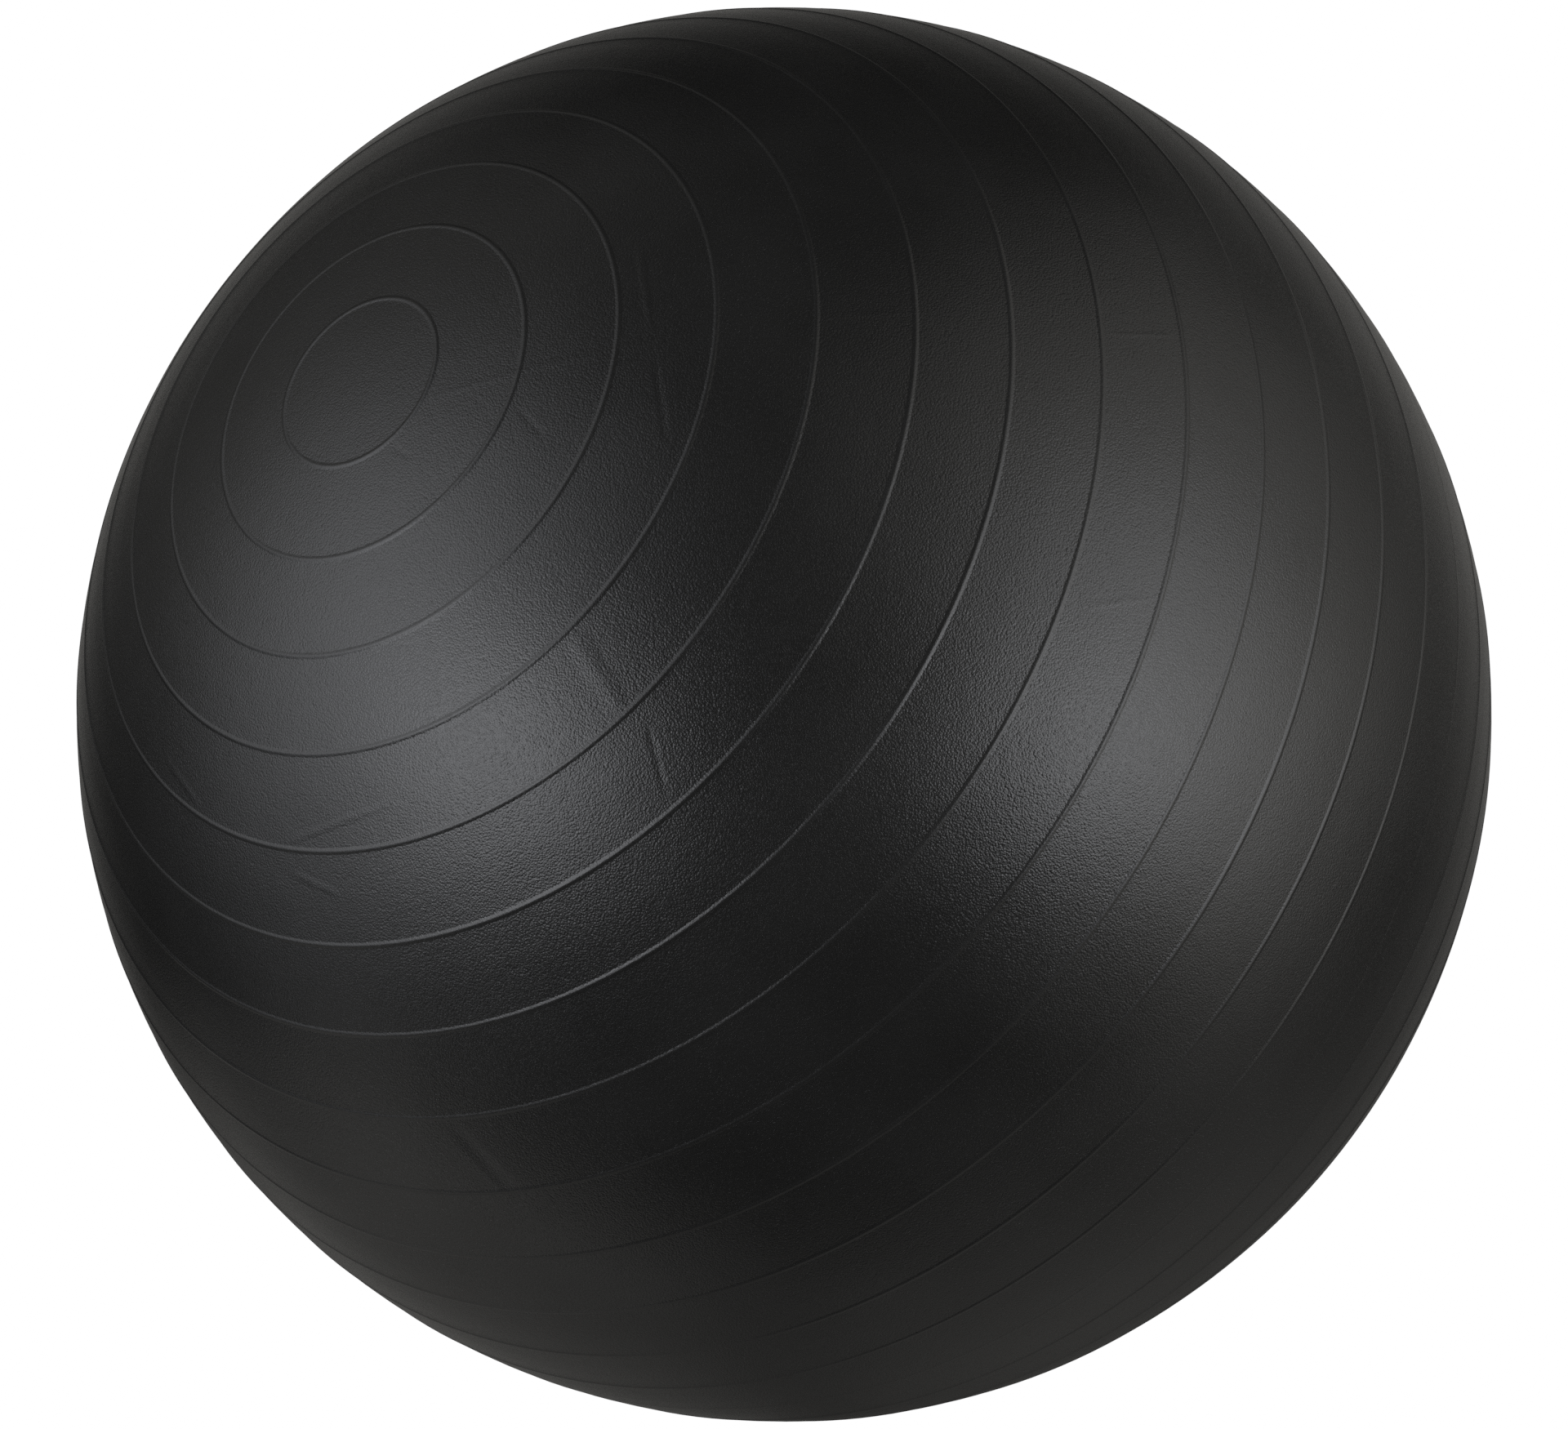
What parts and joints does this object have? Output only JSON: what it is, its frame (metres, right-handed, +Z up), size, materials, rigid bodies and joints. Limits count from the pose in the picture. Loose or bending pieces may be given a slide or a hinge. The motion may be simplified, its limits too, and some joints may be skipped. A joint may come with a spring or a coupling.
{
  "type": "exercise ball",
  "caption": "Inflatable exercise ball with raised anti-slip ribs around it, a welded-in valve seat and a push-in plug that pulls out.",
  "frame": {"origin": "centre of the ball", "axes": "+Y is the axis of the ribs and points out of the valve, -Y out of the plain pole, and +Z is up with the ball lying on the floor"},
  "size_m": [0.6504, 0.65, 0.6504],
  "materials": {
    "skin_pvc": "satin PVC with a fine leather grain",
    "seat_rubber": "smooth matte",
    "plug_plastic": "smooth satin"
  },
  "bodies": {
    "ball": {"ball_skin": "skin_pvc", "valve_seat": "seat_rubber"},
    "plug": {"valve_plug": "plug_plastic"}
  },
  "joints": [
    {"name": "plug_pull", "type": "slide", "parent": "ball", "child": "plug", "axis": [0, 1, 0], "range_m": [0, 0.03]}
  ]
}
